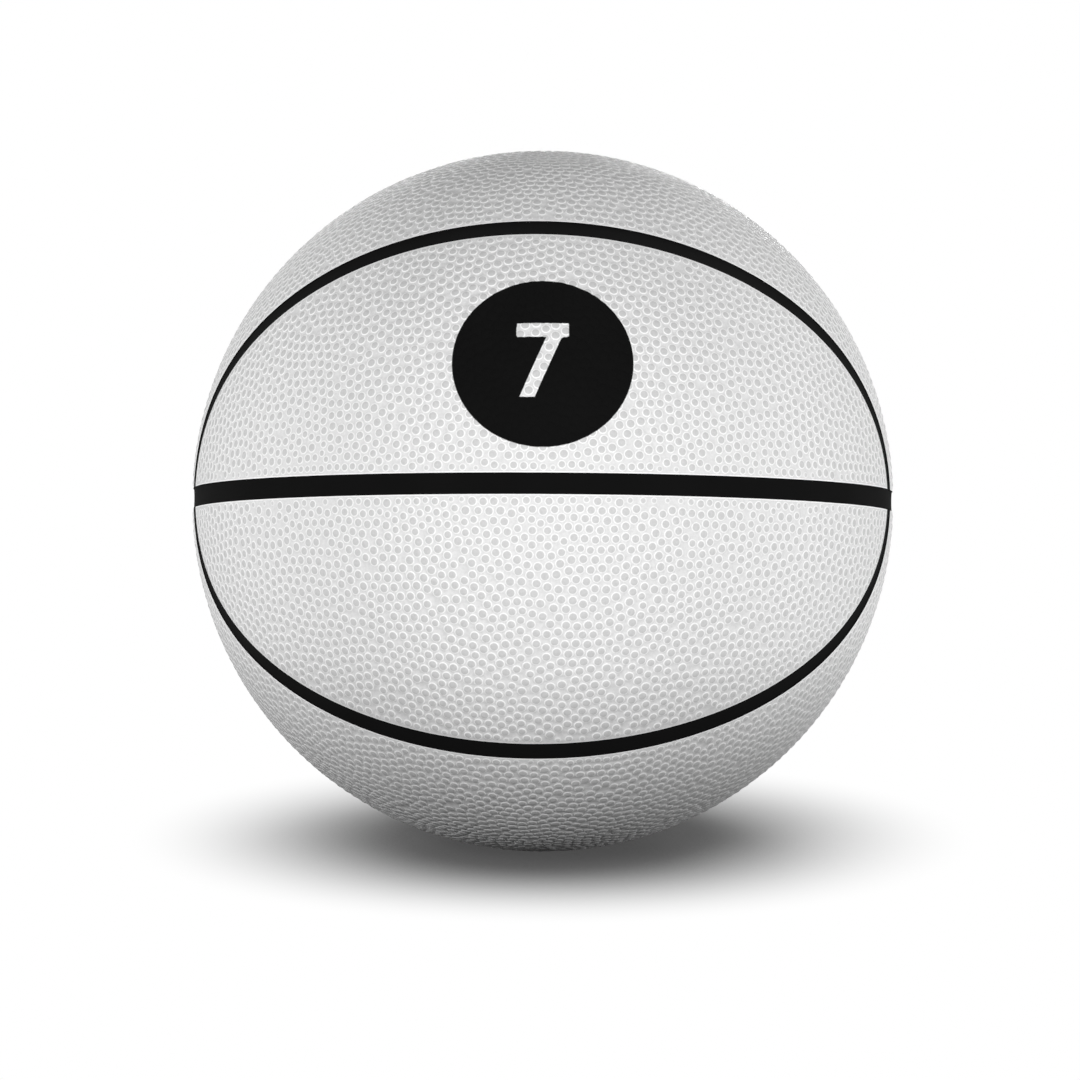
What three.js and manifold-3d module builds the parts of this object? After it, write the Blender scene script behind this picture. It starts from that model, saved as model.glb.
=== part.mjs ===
// A size 7 basketball as it stands on the floor: bladder, thread winding, carcass, channel strips,
// eight cover panels and an inflation valve. Millimetres, +Z up, the floor at Z = 0.
import * as THREE from 'three';
import { mergeVertices } from 'three/addons/utils/BufferGeometryUtils.js';
import Module from 'manifold-3d';

const wasm = await Module();
wasm.setup();

// The layers, from the outside in.
const BALL_DIAMETER = 240;
const COVER_THICKNESS = 1.6;
const CARCASS_THICKNESS = 0.9;
const WINDING_THICKNESS = 0.45;
const BLADDER_THICKNESS = 0.7;
const BOND_GAP = 0.3;

// The channels between the panels, and the sloped shoulder that a panel has beside them.
const CHANNEL_WIDTH = 6.35;
const STRIP_THICKNESS = 1.2;
const STRIP_DISH = 0.15;
const SHOULDER_WIDTH = 0.9;
const SHOULDER_DEPTH = 0.6;

// The ovals, measured along the surface: from the middle of an oval to its highest point, and from
// the meridian channel to the end of the oval on the equator.
const OVAL_HALF_HEIGHT = 96.3;
const OVAL_END_GAP = 21;

// The valve, behind the ball and a little above the equator channel.
const VALVE_RISE = 16;
const CORE_BODY_RADIUS = 2.7;
const CORE_HEAD_LIP = 1.3;
const CORE_LENGTH = 22;
const CORE_TIP_RADIUS = 1.6;
const CORE_TIP_LENGTH = 4;
const CORE_RECESS = 0.9;
const CORE_CLEARANCE = 0.25;
const NEEDLE_HOLE_RADIUS = 0.8;
const NEEDLE_HOLE_FLOOR = 7;
const NEEDLE_LEAD_IN = 0.7;
const STEM_WALL = 3;
const SLEEVE_LENGTH = 17;
const FLANGE_WIDTH = 11;
const FLANGE_THICKNESS = 1.2;

// How the ball lies: the depth of the patch that its weight flattens, and its turn in degrees.
const REST_FLAT_DEPTH = 1.1;
const STANCE_PITCH = -14.3;
const STANCE_ROLL = 0.3;
const STANCE_YAW = -1.7;

// Facets: columns along half a seam, rows across a panel, and the counts of the other pieces.
const COLUMNS = 30;
const ROWS = 5;
const LAYER_DETAIL = 5;
const VALVE_SIDES = 24;
const FLANGE_STEPS = 3;

const X = new THREE.Vector3(1, 0, 0);
const Y = new THREE.Vector3(0, 1, 0);
const Z = new THREE.Vector3(0, 0, 1);

// Radii of the layers. A facet dips below the sphere that its corners lie on, by the longest step
// along and across a panel, so each layer starts below the dip of the one over it.
const coverOuter = BALL_DIAMETER / 2;
const coverInner = coverOuter - COVER_THICKNESS;
const ovalHalfLength = Math.PI / 2 - OVAL_END_GAP / coverOuter;
const ovalHalfHeight = OVAL_HALF_HEIGHT / coverOuter;
const columnStep = (Math.max(1, ovalHalfLength) * Math.PI) / COLUMNS;
const rowStep = (2 * Math.tan(Math.max(ovalHalfHeight, Math.PI / 2 - ovalHalfHeight) / 2)) / ROWS;
const panelDip = Math.cos(Math.hypot(columnStep, rowStep) / 2);
const carcassOuter = coverInner * panelDip - BOND_GAP;
const carcassInner = carcassOuter - CARCASS_THICKNESS;
const windingOuter = carcassInner - BOND_GAP;
const windingInner = windingOuter - WINDING_THICKNESS;
const bladderOuter = windingInner - BOND_GAP;
const bladderInner = bladderOuter - BLADDER_THICKNESS;
const stripFloor = (carcassOuter + BOND_GAP) / Math.cos(columnStep / 2);
const stripFace = stripFloor + STRIP_THICKNESS;
const channelWall = CHANNEL_WIDTH / 2;
const stripEdge = channelWall - BOND_GAP;

// A closed geometry as a solid that can be cut.
function solid(geometry) {
  const bare = geometry.clone();
  bare.deleteAttribute('normal');
  bare.deleteAttribute('uv');
  const welded = mergeVertices(bare);
  return new wasm.Manifold(new wasm.Mesh({
    numProp: 3,
    vertProperties: welded.attributes.position.array,
    triVerts: Uint32Array.from(welded.index.array),
  }));
}

// A geometry with another taken out of it.
function cut(geometry, tool) {
  const { vertProperties, triVerts } = solid(geometry).subtract(solid(tool)).getMesh();
  const left = new THREE.BufferGeometry();
  left.setAttribute('position', new THREE.BufferAttribute(vertProperties, 3));
  left.setIndex(new THREE.BufferAttribute(triVerts, 1));
  return left;
}

// Seams. Each takes an angle, which rises over the top from +X to -X, and gives a point of the unit
// sphere and the direction across the seam there. The oval is an ellipse in distances along the surface.
function equator(angle) {
  return { point: X.clone().applyAxisAngle(Z, angle), across: Z };
}

function meridian(angle) {
  return { point: X.clone().applyAxisAngle(Y, -angle), across: Y.clone().negate() };
}

function ovalPoint(angle) {
  const along = ovalHalfLength * Math.cos(angle);
  const up = ovalHalfHeight * Math.sin(angle);
  const away = Math.hypot(along, up);
  const share = Math.sin(away) / away;
  return new THREE.Vector3(along * share, -Math.cos(away), up * share);
}

function oval(angle) {
  const step = Math.PI / COLUMNS;
  const point = ovalPoint(angle);
  const ahead = ovalPoint(angle + step).sub(ovalPoint(angle - step));
  return { point, across: point.clone().cross(ahead).normalize() };
}

// A point beside a seam: at an angle along it, a distance to the side of it, and at a radius.
function beside(seam, angle, offset, radius) {
  const { point, across } = seam(angle);
  return point.multiplyScalar(Math.sqrt(radius ** 2 - offset ** 2)).addScaledVector(across, offset);
}

// The angle at which a line beside a seam has climbed to a height over the equator.
function angleAtHeight(seam, offset, radius, height) {
  let low = 0;
  let high = Math.PI / 2;
  while (high - low > Number.EPSILON) {
    const middle = (low + high) / 2;
    if (beside(seam, middle, offset, radius).z < height) {
      low = middle;
    } else {
      high = middle;
    }
  }
  return high;
}

// Angles of the columns: even steps from end to end, with the first and last moved in.
function columnAngles(first) {
  return Array.from({ length: COLUMNS + 1 }, (_, column) => (
    THREE.MathUtils.clamp((Math.PI * column) / COLUMNS, first, Math.PI - first)
  ));
}

function columnPoints(start, end, radius) {
  return Array.from({ length: ROWS + 1 }, (_, row) => (
    start.clone().lerp(end, row / ROWS).setLength(radius)
  ));
}

// Columns of points over the front upper panels, set in from their seams: from the equator to the
// oval on the inner panel, and from the oval to the meridian on the outer one.
function innerColumns(inset, radius) {
  const first = angleAtHeight(oval, inset, radius, inset);
  const corner = beside(oval, first, inset, radius);
  const reach = Math.atan2(corner.x, -corner.y) / Math.cos(first);
  return columnAngles(first).map((angle) => {
    const start = beside(equator, reach * Math.cos(angle) - Math.PI / 2, inset, radius);
    return columnPoints(start, beside(oval, angle, inset, radius), radius);
  });
}

function outerColumns(inset, radius) {
  const meridianAngles = columnAngles(angleAtHeight(meridian, inset, radius, inset));
  const ovalAngles = columnAngles(angleAtHeight(oval, -inset, radius, inset));
  return ovalAngles.map((angle, column) => {
    const end = beside(meridian, meridianAngles[column], inset, radius);
    return columnPoints(beside(oval, angle, -inset, radius), end, radius);
  });
}

// The rim of such columns, anticlockwise from outside.
function rimOf(columns) {
  const last = columns[COLUMNS];
  return [
    ...columns[0],
    ...columns.slice(1, -1).map((column) => column[ROWS]),
    ...last.toReversed(),
    ...columns.slice(1, -1).toReversed().map((column) => column[0]),
  ];
}

// A panel: its face, a sloped shoulder, an upright wall and its underside.
function panel(columnsAt) {
  const corners = [];
  const quad = (a, b, c, d) => corners.push(a, b, c, a, c, d);
  const face = columnsAt(channelWall + SHOULDER_WIDTH, coverOuter);
  const edge = columnsAt(channelWall, coverOuter - SHOULDER_DEPTH);
  const underside = columnsAt(channelWall, coverInner);
  for (let i = 0; i < COLUMNS; i += 1) {
    for (let j = 0; j < ROWS; j += 1) {
      quad(face[i][j], face[i][j + 1], face[i + 1][j + 1], face[i + 1][j]);
      quad(underside[i][j], underside[i + 1][j], underside[i + 1][j + 1], underside[i][j + 1]);
    }
  }
  for (const [upper, lower] of [[rimOf(face), rimOf(edge)], [rimOf(edge), rimOf(underside)]]) {
    upper.forEach((point, i) => {
      const next = (i + 1) % upper.length;
      quad(point, lower[i], lower[next], upper[next]);
    });
  }
  return new THREE.BufferGeometry().setFromPoints(corners);
}

// A strip along a seam, dished on its face. A strip that doesn't run right round has closed ends.
function strip(seam, angles, closed) {
  const corners = [];
  const sections = angles.map((angle) => [
    beside(seam, angle, -stripEdge, stripFloor),
    beside(seam, angle, stripEdge, stripFloor),
    beside(seam, angle, stripEdge, stripFace),
    beside(seam, angle, 0, stripFace - STRIP_DISH),
    beside(seam, angle, -stripEdge, stripFace),
  ]);
  const ends = closed ? sections.length : sections.length - 1;
  for (let i = 0; i < ends; i += 1) {
    const here = sections[i];
    const next = sections[(i + 1) % sections.length];
    here.forEach((point, j) => {
      const k = (j + 1) % here.length;
      corners.push(point, here[k], next[k], point, next[k], next[j]);
    });
  }
  if (!closed) {
    const [a, b, c, d, e] = sections[0];
    corners.push(d, c, b, d, b, a, d, a, e);
    const [p, q, r, s, t] = sections[ends];
    corners.push(s, q, r, s, p, q, s, t, p);
  }
  return new THREE.BufferGeometry().setFromPoints(corners);
}

function equatorStrip() {
  const steps = 2 * COLUMNS;
  return strip(equator, Array.from({ length: steps }, (_, step) => (2 * Math.PI * step) / steps), true);
}

// The upper half of another strip, which ends beside the equator strip.
function upperStrip(seam) {
  const first = Math.max(
    angleAtHeight(seam, stripEdge, stripFloor, channelWall),
    angleAtHeight(seam, -stripEdge, stripFloor, channelWall),
  );
  return strip(seam, columnAngles(first), false);
}

// The valve's own group: its +Z points out of the ball along the valve's axis.
const valve = new THREE.Group();
valve.rotation.x = VALVE_RISE / coverOuter - Math.PI / 2;
valve.updateMatrix();

// The ball's own group, with the equator level and the front oval facing -Y, turned as it lies.
const ball = new THREE.Group();
ball.rotation.set(
  THREE.MathUtils.degToRad(STANCE_PITCH),
  THREE.MathUtils.degToRad(STANCE_ROLL),
  THREE.MathUtils.degToRad(STANCE_YAW),
  'YXZ',
);
ball.position.z = coverOuter - REST_FLAT_DEPTH;
ball.updateMatrix();
ball.add(valve);

// Where the pieces of the valve meet, as distances from its axis and from the ball's centre.
const coreHeadRadius = CORE_BODY_RADIUS + CORE_HEAD_LIP;
const sleeveBore = CORE_BODY_RADIUS + CORE_CLEARANCE;
const stemRadius = sleeveBore + STEM_WALL;
const flangeRadius = stemRadius + FLANGE_WIDTH;
const stemTop = Math.sqrt((coverInner * panelDip) ** 2 - stemRadius ** 2) - BOND_GAP;
const coreFace = coverOuter - CORE_RECESS;
const coreTip = coreFace - CORE_LENGTH;

// A revolved piece of the valve, from pairs of radius and distance from the ball's centre.
function turned(profile) {
  const points = profile.map(([radius, height]) => new THREE.Vector2(radius, height));
  return new THREE.LatheGeometry(points, VALVE_SIDES).rotateX(Math.PI / 2);
}

// The plug: a head in the panel's hole, a body in the sleeve, a tapered tip and a blind needle hole.
function valveCore() {
  return turned([
    [0, coreTip],
    [CORE_TIP_RADIUS, coreTip],
    [CORE_BODY_RADIUS, coreTip + CORE_TIP_LENGTH],
    [CORE_BODY_RADIUS, stemTop + CORE_CLEARANCE],
    [coreHeadRadius, stemTop + CORE_CLEARANCE],
    [coreHeadRadius, coreFace],
    [NEEDLE_HOLE_RADIUS + NEEDLE_LEAD_IN, coreFace],
    [NEEDLE_HOLE_RADIUS, coreFace - NEEDLE_LEAD_IN],
    [NEEDLE_HOLE_RADIUS, coreTip + NEEDLE_HOLE_FLOOR],
    [0, coreTip + NEEDLE_HOLE_FLOOR],
  ]);
}

// The nearest that the facets of a layer come to the ball's centre, as a share of its radius.
function layerDip() {
  const corners = new THREE.IcosahedronGeometry(1, LAYER_DETAIL).attributes.position;
  const face = new THREE.Triangle();
  const plane = new THREE.Plane();
  let nearest = 1;
  for (let first = 0; first < corners.count; first += 3) {
    face.setFromAttributeAndIndices(corners, first, first + 1, first + 2);
    nearest = Math.min(nearest, Math.abs(face.getPlane(plane).constant));
  }
  return nearest;
}

// The boss: a stem through the layers, a dished flange inside the bladder and a sleeve for the plug.
function valveHousing() {
  const seat = bladderInner * layerDip() - BOND_GAP;
  const arc = (radius, from, to) => Array.from({ length: FLANGE_STEPS + 1 }, (_, step) => {
    const reach = THREE.MathUtils.lerp(from, to, step / FLANGE_STEPS);
    return [reach, Math.sqrt(radius ** 2 - reach ** 2)];
  });
  const sleeveEnd = stemTop - SLEEVE_LENGTH;
  return turned([
    [sleeveBore, sleeveEnd],
    [stemRadius, sleeveEnd],
    ...arc(seat - FLANGE_THICKNESS, stemRadius, flangeRadius),
    ...arc(seat, flangeRadius, stemRadius),
    [stemRadius, stemTop],
    [sleeveBore, stemTop],
    [sleeveBore, sleeveEnd],
  ]);
}

// A round tool along the valve's axis, from the ball's centre to outside the cover.
function valveDrill(radius) {
  const drill = new THREE.CylinderGeometry(radius, radius, BALL_DIAMETER, VALVE_SIDES);
  return drill.rotateX(Math.PI / 2).translate(0, 0, coverOuter).applyMatrix4(valve.matrix);
}

// A layer under the cover, with its hole for the valve's stem.
function layer(outer, inner) {
  const hollow = cut(
    new THREE.IcosahedronGeometry(outer, LAYER_DETAIL),
    new THREE.IcosahedronGeometry(inner, LAYER_DETAIL),
  );
  return cut(hollow, valveDrill(stemRadius + BOND_GAP));
}

// What lies below the floor, in the ball's own group.
function floorBlock() {
  const block = new THREE.BoxGeometry(BALL_DIAMETER, BALL_DIAMETER, BALL_DIAMETER);
  return block.translate(0, 0, -coverOuter).applyMatrix4(ball.matrix.clone().invert());
}

function add(group, name, geometry, [color, roughness]) {
  const material = new THREE.MeshStandardMaterial({ color, roughness, metalness: 0 });
  const mesh = new THREE.Mesh(geometry, material);
  mesh.name = name;
  group.add(mesh);
  return mesh;
}

// Colours, and how rough each finish is.
const coverWhite = [0xe9e9e7, 0.55];
const channelBlack = [0x131313, 0.75];
const carcassGrey = [0x3a3a3c, 0.8];
const yarnCream = [0xd8d2c0, 0.9];
const bladderBlack = [0x1c1c1e, 0.6];
const valveBlack = [0x161616, 0.65];

add(ball, 'bladder', layer(bladderOuter, bladderInner), bladderBlack);
add(ball, 'thread_winding', layer(windingOuter, windingInner), yarnCream);
add(ball, 'carcass', layer(carcassOuter, carcassInner), carcassGrey);
add(valve, 'valve_housing', valveHousing(), valveBlack);
add(valve, 'valve_core', valveCore(), valveBlack);
add(ball, 'channel_equator', equatorStrip(), channelBlack);

// The pattern is alike on all four quarters of the ball: half a turn about an axis brings the front
// upper quarter to each of the others.
const quarters = [['front_upper', X, 0], ['front_lower', Y, 1], ['rear_upper', Z, 1], ['rear_lower', X, 1]];

const meridianStrip = upperStrip(meridian);
add(ball, 'channel_meridian_upper', meridianStrip, channelBlack);
add(ball, 'channel_meridian_lower', meridianStrip, channelBlack).rotateOnAxis(Y, Math.PI);

const ovalStrip = upperStrip(oval);
for (const [quarter, axis, halfTurns] of quarters) {
  add(ball, `channel_oval_${quarter}`, ovalStrip, channelBlack).rotateOnAxis(axis, halfTurns * Math.PI);
}

// The panels, two of which are cut: one for the valve's head, and one flat where it meets the floor.
const tools = {
  panel_rear_upper_inner: valveDrill(coreHeadRadius + CORE_CLEARANCE),
  panel_rear_lower_outer: floorBlock(),
};
for (const [kind, columnsAt] of [['inner', innerColumns], ['outer', outerColumns]]) {
  const blank = panel(columnsAt);
  for (const [quarter, axis, halfTurns] of quarters) {
    const mesh = add(ball, `panel_${quarter}_${kind}`, blank, coverWhite);
    mesh.rotateOnAxis(axis, halfTurns * Math.PI);
    mesh.updateMatrix();
    const tool = tools[mesh.name];
    if (tool) {
      mesh.geometry = cut(blank, tool.applyMatrix4(mesh.matrix.clone().invert()));
    }
  }
}

const part = new THREE.Group();
part.add(ball);

export default part;
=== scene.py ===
import sys
import math

import bmesh
import bpy
import numpy as np
from mathutils import Matrix, Vector, kdtree
from mathutils.geometry import delaunay_2d_cdt


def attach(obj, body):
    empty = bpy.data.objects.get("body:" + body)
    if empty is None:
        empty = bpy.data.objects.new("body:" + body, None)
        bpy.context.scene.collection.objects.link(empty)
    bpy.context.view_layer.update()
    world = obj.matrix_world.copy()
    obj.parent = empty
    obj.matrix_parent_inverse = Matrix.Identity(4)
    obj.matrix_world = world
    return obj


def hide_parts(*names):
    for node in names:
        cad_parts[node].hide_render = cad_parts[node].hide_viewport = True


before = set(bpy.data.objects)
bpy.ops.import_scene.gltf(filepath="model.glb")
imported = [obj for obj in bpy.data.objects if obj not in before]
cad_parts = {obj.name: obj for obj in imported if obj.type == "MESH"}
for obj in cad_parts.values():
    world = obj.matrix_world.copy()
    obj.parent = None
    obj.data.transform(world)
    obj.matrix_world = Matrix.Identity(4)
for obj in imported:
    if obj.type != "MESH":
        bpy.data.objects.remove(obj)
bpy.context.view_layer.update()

MM = 0.001
X, Y, Z = Vector((1, 0, 0)), Vector((0, 1, 0)), Vector((0, 0, 1))

# The ball in millimetres, as the solids have it: its cover, channels, ovals and stance, with the turns of
# its stance in degrees.
BALL_RADIUS = 120.0
COVER_THICKNESS = 1.6
CHANNEL_HALF_WIDTH = 3.175
OVAL_HALF_HEIGHT = 96.3
OVAL_END_GAP = 21.0
REST_FLAT_DEPTH = 1.1
STANCE_PITCH = -14.3
STANCE_ROLL = 0.3
STANCE_YAW = -1.7

# The channel strips: from the ball's centre, their floor and the edge of their face, which stands a little
# over that of the solids. Then their dish, the gap beside them, steps along them and points across them.
STRIP_FLOOR = 117.97
STRIP_FACE = 119.4
STRIP_DISH = 0.15
STRIP_SIDE_GAP = 0.03
STRIP_STEPS = 160
STRIP_FACE_POINTS = 7

# The pebbles: the cover's area for each, how far they are shaken out of their even places, how they are
# pushed apart again, with no gap counted as less than a part of the spacing, and the least and most room
# that they seek beside a border.
PEBBLE_AREA = 12.7
PEBBLE_SHAKE = 0.45
PEBBLE_PUSHES = 16
PEBBLE_PUSH_SHARE = 0.4
PEBBLE_NEIGHBOURS = 7
PEBBLE_GAP_PARTS = 100
PEBBLE_EDGE_ROOM = (1.0, 2.2)
SEED = 7

# A pebble: the radius of its widest foot and of its smallest, the gap beside its foot, the foot's sides,
# its height, the swell of its top, and how far from a border it has its full strength.
PEBBLE_FOOT = 1.8
PEBBLE_LEAST_FOOT = 0.85
PEBBLE_GAP = 0.06
PEBBLE_SIDES = 12
PEBBLE_HEIGHT = 0.17
PEBBLE_CROWN = 0.12
FADE_WIDTH = 1.7

# The cover's tones, which are 0 in the valleys, and the rings of a pebble above its foot: how far in each
# is set, how high it stands as a share of the pebble, and its tone. The rim's tone paints a highlight round
# the pebble, and the top's tone paints shade on its top.
RIM_HIGHLIGHT_TONE = 1.0
TOP_SHADE_TONE = 2.0
PEBBLE_RINGS = [(0.2, 0.65, RIM_HIGHLIGHT_TONE), (0.4, 1.0, TOP_SHADE_TONE)]

# The bare border of a panel beside a channel, the band on it that is toned as a painted highlight, its
# rounded shoulder, which carries the same painted highlight, how far round the shoulder the black of the
# channel comes, and points along its seams.
BORDER_WIDTH = 0.75
HIGHLIGHT_BAND_WIDTH = 0.65
SHOULDER_RADIUS = 0.5
SHOULDER_STEPS = 4
SHOULDER_INK_SHARE = 0.08
LONG_STEPS = 240
END_STEPS = 14

# The layers under the cover: the slot of each, its outer and its inner radius, the gap that the bond
# between them fills, and their steps along and around the valve's axis.
BLADDER_INNER = 114.71
LAYERS = {
    "carcass": ("carcass_rubber", 117.36, 116.46),
    "thread_winding": ("winding_nylon", 116.16, 115.71),
    "bladder": ("bladder_butyl", 115.41, BLADDER_INNER),
}
BOND_GAP = 0.3
LAYER_STEPS = 96
LAYER_TURNS = 128

# The valve: where it is above the equator channel, the panel's hole, the plug and its housing, with heights
# from the ball's centre.
VALVE_RISE = 16.0
VALVE_HOLE_RADIUS = 4.25
VALVE_HOLE_STEPS = 48
VALVE_STEPS = 64
CORE_TIP = 97.1
CORE_FACE = 119.1
CORE_HEAD_FLOOR = 117.46
CORE_HEAD_RADIUS = 4.0
CORE_BODY_RADIUS = 2.7
CORE_TIP_RADIUS = 1.6
CORE_TIP_LENGTH = 4.0
CORE_EDGE = 0.3
NEEDLE_HOLE_RADIUS = 0.8
NEEDLE_HOLE_FLOOR = 104.1
NEEDLE_LEAD_IN = 0.7
SLEEVE_BORE = 2.95
SLEEVE_END = 100.21
STEM_RADIUS = 5.95
STEM_TOP = 117.21
FLANGE_RADIUS = 16.95
FLANGE_SEAT = BLADDER_INNER - BOND_GAP
FLANGE_THICKNESS = 1.2
FLANGE_STEPS = 8

# The printed size number: where its disc is on the front upper panel, in degrees, the disc's radius, the
# number's strokes, half the width over which the ink fades, and the depth that stands for no ink.
MARK_RISE = 19.8
MARK_SIDE = 1.5
MARK_RADIUS = 29.4
NUMBER_HALF_HEIGHT = 13.0
NUMBER_HALF_WIDTH = 8.5
NUMBER_STROKE = 5.0
NUMBER_LEG_SLANT = 0.42
NUMBER_LEG_SHIFT = 0.4
INK_EDGE = 0.12
BARE_DEPTH = -1.0

# Meshes: how near vertices are joined, how a panel is filled inside its outline and how finely, the angles
# in degrees past which an edge is rounded or stays sharp, and the steps of a rounded edge.
MERGE_DISTANCE = 0.03
FILL_INSIDE = 1
FILL_TOLERANCE = 1e-7
ROUND_ANGLE = 40
SHARP_ANGLE = 50
EDGE_STEPS = 3

# The ball's turn and place in the part's frame, and the frame of the valve, whose Z is its axis.
BALL_TURN = (
    Matrix.Rotation(math.radians(STANCE_ROLL), 4, "Y")
    @ Matrix.Rotation(math.radians(STANCE_PITCH), 4, "X")
    @ Matrix.Rotation(math.radians(STANCE_YAW), 4, "Z")
)
BALL_CENTRE = Vector((0, 0, (BALL_RADIUS - REST_FLAT_DEPTH) * MM))
BALL = Matrix.Translation(BALL_CENTRE) @ BALL_TURN @ Matrix.Scale(MM, 4)
VALVE = BALL @ Matrix.Rotation(VALVE_RISE / BALL_RADIUS - math.pi / 2, 4, "X")

# Radii of the ground between the pebbles, of the panels' underside and of the edge of the channels' black
# on a shoulder, and the ovals' half length and half height as angles.
GROUND_RADIUS = BALL_RADIUS - PEBBLE_HEIGHT - PEBBLE_CROWN
COVER_INNER = BALL_RADIUS - COVER_THICKNESS
INK_RADIUS = GROUND_RADIUS - SHOULDER_INK_SHARE * SHOULDER_RADIUS
OVAL_LENGTH_ANGLE = math.pi / 2 - OVAL_END_GAP / BALL_RADIUS
OVAL_HEIGHT_ANGLE = OVAL_HALF_HEIGHT / BALL_RADIUS

# Half a turn about an axis brings the front upper quarter of the ball to each of the others.
QUARTERS = {
    "front_upper": Matrix.Identity(4),
    "front_lower": Matrix.Rotation(math.pi, 4, "Y"),
    "rear_upper": Matrix.Rotation(math.pi, 4, "Z"),
    "rear_lower": Matrix.Rotation(math.pi, 4, "X"),
}


# Seams of the front upper quarter. Each takes a turn, which rises over the top from +X to -X, and gives
# a direction from the ball's centre and the direction across the seam there.
def oval_direction(turn):
    along = OVAL_LENGTH_ANGLE * math.cos(turn)
    up = OVAL_HEIGHT_ANGLE * math.sin(turn)
    away = math.hypot(along, up)
    share = math.sin(away) / away
    return Vector((along * share, -math.cos(away), up * share))


def oval(turn):
    step = math.pi / LONG_STEPS
    here = oval_direction(turn)
    ahead = oval_direction(turn + step) - oval_direction(turn - step)
    return here, here.cross(ahead).normalized()


def meridian(turn):
    return Vector((math.cos(turn), 0, math.sin(turn))), -Y


def equator(turn):
    return Vector((math.cos(turn), math.sin(turn), 0)), Z


def beside(seam, turn, offset, radius):
    """A point at a distance to the side of a seam, and at a radius from the ball's centre."""
    here, across = seam(turn)
    return here * math.sqrt(radius**2 - offset**2) + across * offset


def turn_at_height(seam, offset, radius, height):
    """The turn at which a line beside a seam has climbed to a height over the equator."""
    low, high = 0.0, math.pi / 2
    while high - low > sys.float_info.epsilon:
        middle = (low + high) / 2
        if beside(seam, middle, offset, radius).z < height:
            low = middle
        else:
            high = middle
    return high


def line_beside(seam, offset, radius, inset):
    """Points beside a seam from its right end to its left end, at the same inset from the equator."""
    first = turn_at_height(seam, offset, radius, inset)
    turns = np.linspace(first, math.pi - first, LONG_STEPS + 1).tolist()
    return [beside(seam, turn, offset, radius) for turn in turns]


def line_above_equator(start, end, radius, inset, steps):
    """Points between two others along the equator, without those two."""
    turns = np.linspace(math.atan2(start.y, start.x), math.atan2(end.y, end.x), steps + 1).tolist()
    return [beside(equator, turn, inset, radius) for turn in turns[1:-1]]


# Outlines of the front upper panels, anticlockwise from outside and set in from their seams.
def inner_outline(inset, radius):
    top = line_beside(oval, inset, radius, inset)
    return top + line_above_equator(top[-1], top[0], radius, inset, LONG_STEPS)


def outer_outline(inset, radius):
    rear = line_beside(meridian, inset, radius, inset)
    front = line_beside(oval, -inset, radius, inset)[::-1]
    left = line_above_equator(rear[-1], front[0], radius, inset, END_STEPS)
    right = line_above_equator(front[-1], rear[0], radius, inset, END_STEPS)
    return rear + left + front + right


def valve_outline(inset, radius):
    """The panel's round hole, in the front upper quarter's own frame."""
    reach = VALVE_HOLE_RADIUS + inset - CHANNEL_HALF_WIDTH
    tilt = Matrix.Rotation(math.pi / 2 - VALVE_RISE / BALL_RADIUS, 4, "X")
    ring = np.linspace(0, 2 * math.pi, VALVE_HOLE_STEPS, endpoint=False).tolist()
    height = math.sqrt(radius**2 - reach**2)
    return [tilt @ Vector((reach * math.cos(a), reach * math.sin(a), height)) for a in ring]


OUTLINES = {"inner": inner_outline, "outer": outer_outline}
# The middle of each kind of panel, as an angle above the equator.
PANEL_MIDDLE = {"inner": math.radians(22), "outer": math.radians(68)}


# Pebbles
def scatter_pebbles():
    """Directions of the pebbles: an even spiral over the ball, shaken and then pushed apart."""
    count = round(4 * math.pi * BALL_RADIUS**2 / PEBBLE_AREA)
    spacing = math.sqrt(2 * PEBBLE_AREA / math.sqrt(3)) / BALL_RADIUS
    number = np.arange(count)
    height = 1 - (2 * number + 1) / count
    turn = number * math.pi * (3 - math.sqrt(5))
    ring = np.sqrt(1 - height**2)
    places = np.stack([ring * np.cos(turn), ring * np.sin(turn), height], axis=1)
    draws = np.random.default_rng(SEED)
    places = on_ball(places + draws.normal(size=places.shape) * spacing * PEBBLE_SHAKE)
    places = places[edge_room(places) > -BORDER_WIDTH]
    room = draws.uniform(*PEBBLE_EDGE_ROOM, size=(len(places), 1))
    for _ in range(PEBBLE_PUSHES):
        near, gaps = neighbours(places)
        apart = places[:, None, :] - places[near]
        push = np.clip(spacing - gaps, 0, None) / np.maximum(gaps, spacing / PEBBLE_GAP_PARTS)
        places = on_ball(places + PEBBLE_PUSH_SHARE * (apart * push[:, :, None]).sum(axis=1))
        for edge, half_width in pebble_edges(places):
            apart = places - edge
            gaps = np.linalg.norm(apart, axis=1, keepdims=True)
            wanted = (half_width + BORDER_WIDTH + room) / BALL_RADIUS
            places = on_ball(places + apart * np.clip(wanted / gaps - 1, 0, None))
    return places


def on_ball(places):
    return places / np.linalg.norm(places, axis=1, keepdims=True)


def pebble_edges(places):
    """For each seam and the valve: the nearest place on it to every pebble, and half its width."""
    corner = np.where(places < 0, -1, 1) * (1, -1, 1)
    line = np.array([oval_direction(turn) for turn in np.linspace(0, math.pi / 2, LONG_STEPS)])
    on_oval = line[(places * corner @ line.T).argmax(axis=1)] * corner
    valve = np.array([[0, math.cos(VALVE_RISE / BALL_RADIUS), math.sin(VALVE_RISE / BALL_RADIUS)]])
    return [
        (on_oval, CHANNEL_HALF_WIDTH),
        (on_ball(places * (1, 1, 0)), CHANNEL_HALF_WIDTH),
        (on_ball(places * (1, 0, 1)), CHANNEL_HALF_WIDTH),
        (valve, VALVE_HOLE_RADIUS),
    ]


def edge_room(places):
    """How far each pebble's middle is from the nearest border of a panel."""
    rooms = [
        np.linalg.norm(places - edge, axis=1) * BALL_RADIUS - half_width - BORDER_WIDTH
        for edge, half_width in pebble_edges(places)
    ]
    return np.min(rooms, axis=0)


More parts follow.
